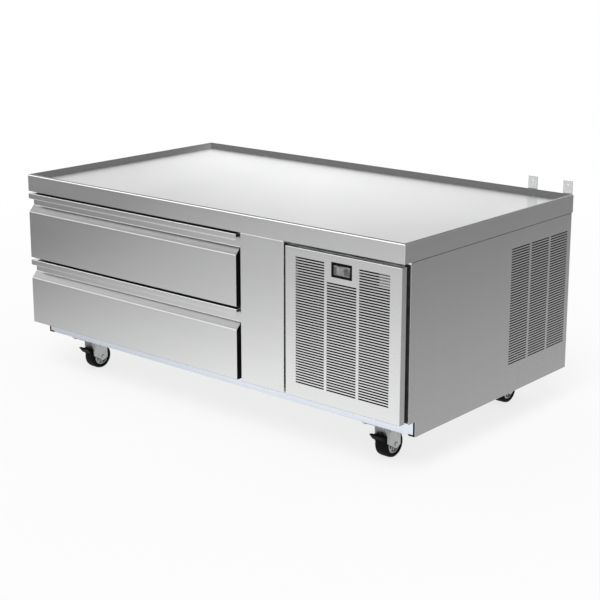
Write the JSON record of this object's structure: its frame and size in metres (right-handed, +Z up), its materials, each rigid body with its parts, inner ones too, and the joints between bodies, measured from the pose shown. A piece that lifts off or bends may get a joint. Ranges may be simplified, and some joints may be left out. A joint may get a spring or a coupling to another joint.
{
  "type": "refrigerated chef base",
  "caption": "Low refrigerated base with stacked pan drawers, a louvred machine compartment and a flat raised-rim worktop, on swivel casters.",
  "frame": {"origin": "on the floor, under the middle of the bounding box", "axes": "+X along the worktop to the right of someone who faces the drawers, +Y to the back, +Z up"},
  "size_m": [1.426, 0.8052, 0.655],
  "materials": {
    "stainless_panel": "brushed satin",
    "galvanised_sheet": "galvanised",
    "insulating_foam": "rigid foam",
    "worktop_board": "plywood",
    "gasket_vinyl": "matte",
    "black_plastic": "fine texture",
    "display_window": "gloss",
    "white_plastic": "matte",
    "black_enamel": "satin paint",
    "copper_tube": "drawn copper",
    "fin_aluminium": "thin fins",
    "zinc_steel": "zinc plated",
    "caster_rubber": "moulded"
  },
  "bodies": {
    "root": {"worktop": "stainless_panel", "left_side_panel": "stainless_panel", "right_side_panel": "stainless_panel", "mullion_panel": "stainless_panel", "face_frame": "stainless_panel", "liner": "stainless_panel", "slide_rack_left": "stainless_panel", "slide_rack_right": "stainless_panel", "evaporator_housing": "stainless_panel", "back_panel": "galvanised_sheet", "base_pan": "galvanised_sheet", "front_rail": "galvanised_sheet", "rear_tab_inner": "galvanised_sheet", "rear_tab_outer": "galvanised_sheet", "fan_shroud": "galvanised_sheet", "condensing_unit_tray": "galvanised_sheet", "foam_body": "insulating_foam", "worktop_core": "worktop_board", "cord_gland": "black_plastic", "junction_box": "white_plastic", "compressor": "black_enamel", "condenser_fan_motor": "black_enamel", "evaporator_fan_motor": "black_enamel", "suction_line": "copper_tube", "liquid_line": "copper_tube", "condenser_coil": "fin_aluminium", "evaporator_coil": "fin_aluminium", "slide_outer_upper_left": "zinc_steel", "slide_outer_upper_right": "zinc_steel", "slide_outer_lower_left": "zinc_steel", "slide_outer_lower_right": "zinc_steel", "caster_plate_front_left": "zinc_steel", "caster_plate_front_right": "zinc_steel", "caster_plate_rear_left": "zinc_steel", "caster_plate_rear_right": "zinc_steel"},
    "drawer_upper": {"drawer_front_upper": "stainless_panel", "drawer_gasket_upper": "gasket_vinyl", "drawer_frame_upper": "stainless_panel"},
    "drawer_lower": {"drawer_front_lower": "stainless_panel", "drawer_gasket_lower": "gasket_vinyl", "drawer_frame_lower": "stainless_panel"},
    "slides_upper": {"slide_middle_upper_left": "zinc_steel", "slide_middle_upper_right": "zinc_steel"},
    "slides_lower": {"slide_middle_lower_left": "zinc_steel", "slide_middle_lower_right": "zinc_steel"},
    "service_cover": {"service_panel": "stainless_panel", "display_bezel": "black_plastic", "thermostat": "display_window"},
    "condenser_rotor": {"condenser_fan": "black_plastic"},
    "evaporator_rotor": {"evaporator_fan": "black_plastic"},
    "caster_front_left": {"caster_fork_front_left": "zinc_steel"},
    "wheel_front_left": {"caster_wheel_front_left": "caster_rubber"},
    "brake_front_left": {"brake_pedal_front_left": "black_enamel"},
    "caster_front_right": {"caster_fork_front_right": "zinc_steel"},
    "wheel_front_right": {"caster_wheel_front_right": "caster_rubber"},
    "brake_front_right": {"brake_pedal_front_right": "black_enamel"},
    "caster_rear_left": {"caster_fork_rear_left": "zinc_steel"},
    "wheel_rear_left": {"caster_wheel_rear_left": "caster_rubber"},
    "caster_rear_right": {"caster_fork_rear_right": "zinc_steel"},
    "wheel_rear_right": {"caster_wheel_rear_right": "caster_rubber"}
  },
  "joints": [
    {"name": "drawer_upper_slide", "type": "slide", "parent": "root", "child": "drawer_upper", "axis": [0, -1, 0], "range_m": [0, 0.52]},
    {"name": "slides_upper_slide", "type": "slide", "parent": "root", "child": "slides_upper", "axis": [0, -1, 0], "range_m": [0, 0.26]},
    {"name": "drawer_lower_slide", "type": "slide", "parent": "root", "child": "drawer_lower", "axis": [0, -1, 0], "range_m": [0, 0.52]},
    {"name": "slides_lower_slide", "type": "slide", "parent": "root", "child": "slides_lower", "axis": [0, -1, 0], "range_m": [0, 0.26]},
    {"name": "service_panel_pull", "type": "slide", "parent": "root", "child": "service_cover", "axis": [0, -1, 0], "range_m": [0, 0.2]},
    {"name": "condenser_fan_spin", "type": "hinge", "parent": "root", "child": "condenser_rotor", "pos_m": [0.51734, -0.21835, 0.2819], "axis": [0, 1, 0], "continuous": true},
    {"name": "evaporator_fan_spin", "type": "hinge", "parent": "root", "child": "evaporator_rotor", "pos_m": [0.10199, 0.07735, 0.3606], "axis": [1, 0, 0], "continuous": true},
    {"name": "swivel_front_left", "type": "hinge", "parent": "root", "child": "caster_front_left", "pos_m": [-0.573, -0.29265, 0.0982], "axis": [0, 0, 1], "continuous": true},
    {"name": "wheel_spin_front_left", "type": "hinge", "parent": "caster_front_left", "child": "wheel_front_left", "pos_m": [-0.573, -0.26815, 0.038], "axis": [1, 0, 0], "continuous": true},
    {"name": "brake_tip_left", "type": "hinge", "parent": "caster_front_left", "child": "brake_front_left", "pos_m": [-0.573, -0.29415, 0.078], "axis": [1, 0, 0], "range_deg": [0, 12]},
    {"name": "swivel_front_right", "type": "hinge", "parent": "root", "child": "caster_front_right", "pos_m": [0.573, -0.29265, 0.0982], "axis": [0, 0, 1], "continuous": true},
    {"name": "wheel_spin_front_right", "type": "hinge", "parent": "caster_front_right", "child": "wheel_front_right", "pos_m": [0.573, -0.26815, 0.038], "axis": [1, 0, 0], "continuous": true},
    {"name": "brake_tip_right", "type": "hinge", "parent": "caster_front_right", "child": "brake_front_right", "pos_m": [0.573, -0.29415, 0.078], "axis": [1, 0, 0], "range_deg": [0, 12]},
    {"name": "swivel_rear_left", "type": "hinge", "parent": "root", "child": "caster_rear_left", "pos_m": [-0.573, 0.26385, 0.0982], "axis": [0, 0, 1], "continuous": true},
    {"name": "wheel_spin_rear_left", "type": "hinge", "parent": "caster_rear_left", "child": "wheel_rear_left", "pos_m": [-0.573, 0.28835, 0.038], "axis": [1, 0, 0], "continuous": true},
    {"name": "swivel_rear_right", "type": "hinge", "parent": "root", "child": "caster_rear_right", "pos_m": [0.573, 0.26385, 0.0982], "axis": [0, 0, 1], "continuous": true},
    {"name": "wheel_spin_rear_right", "type": "hinge", "parent": "caster_rear_right", "child": "wheel_rear_right", "pos_m": [0.573, 0.28835, 0.038], "axis": [1, 0, 0], "continuous": true}
  ],
  "couplings": [
    {"joint": "slides_upper_slide", "follows": "drawer_upper_slide", "ratio": 0.5},
    {"joint": "slides_lower_slide", "follows": "drawer_lower_slide", "ratio": 0.5}
  ]
}
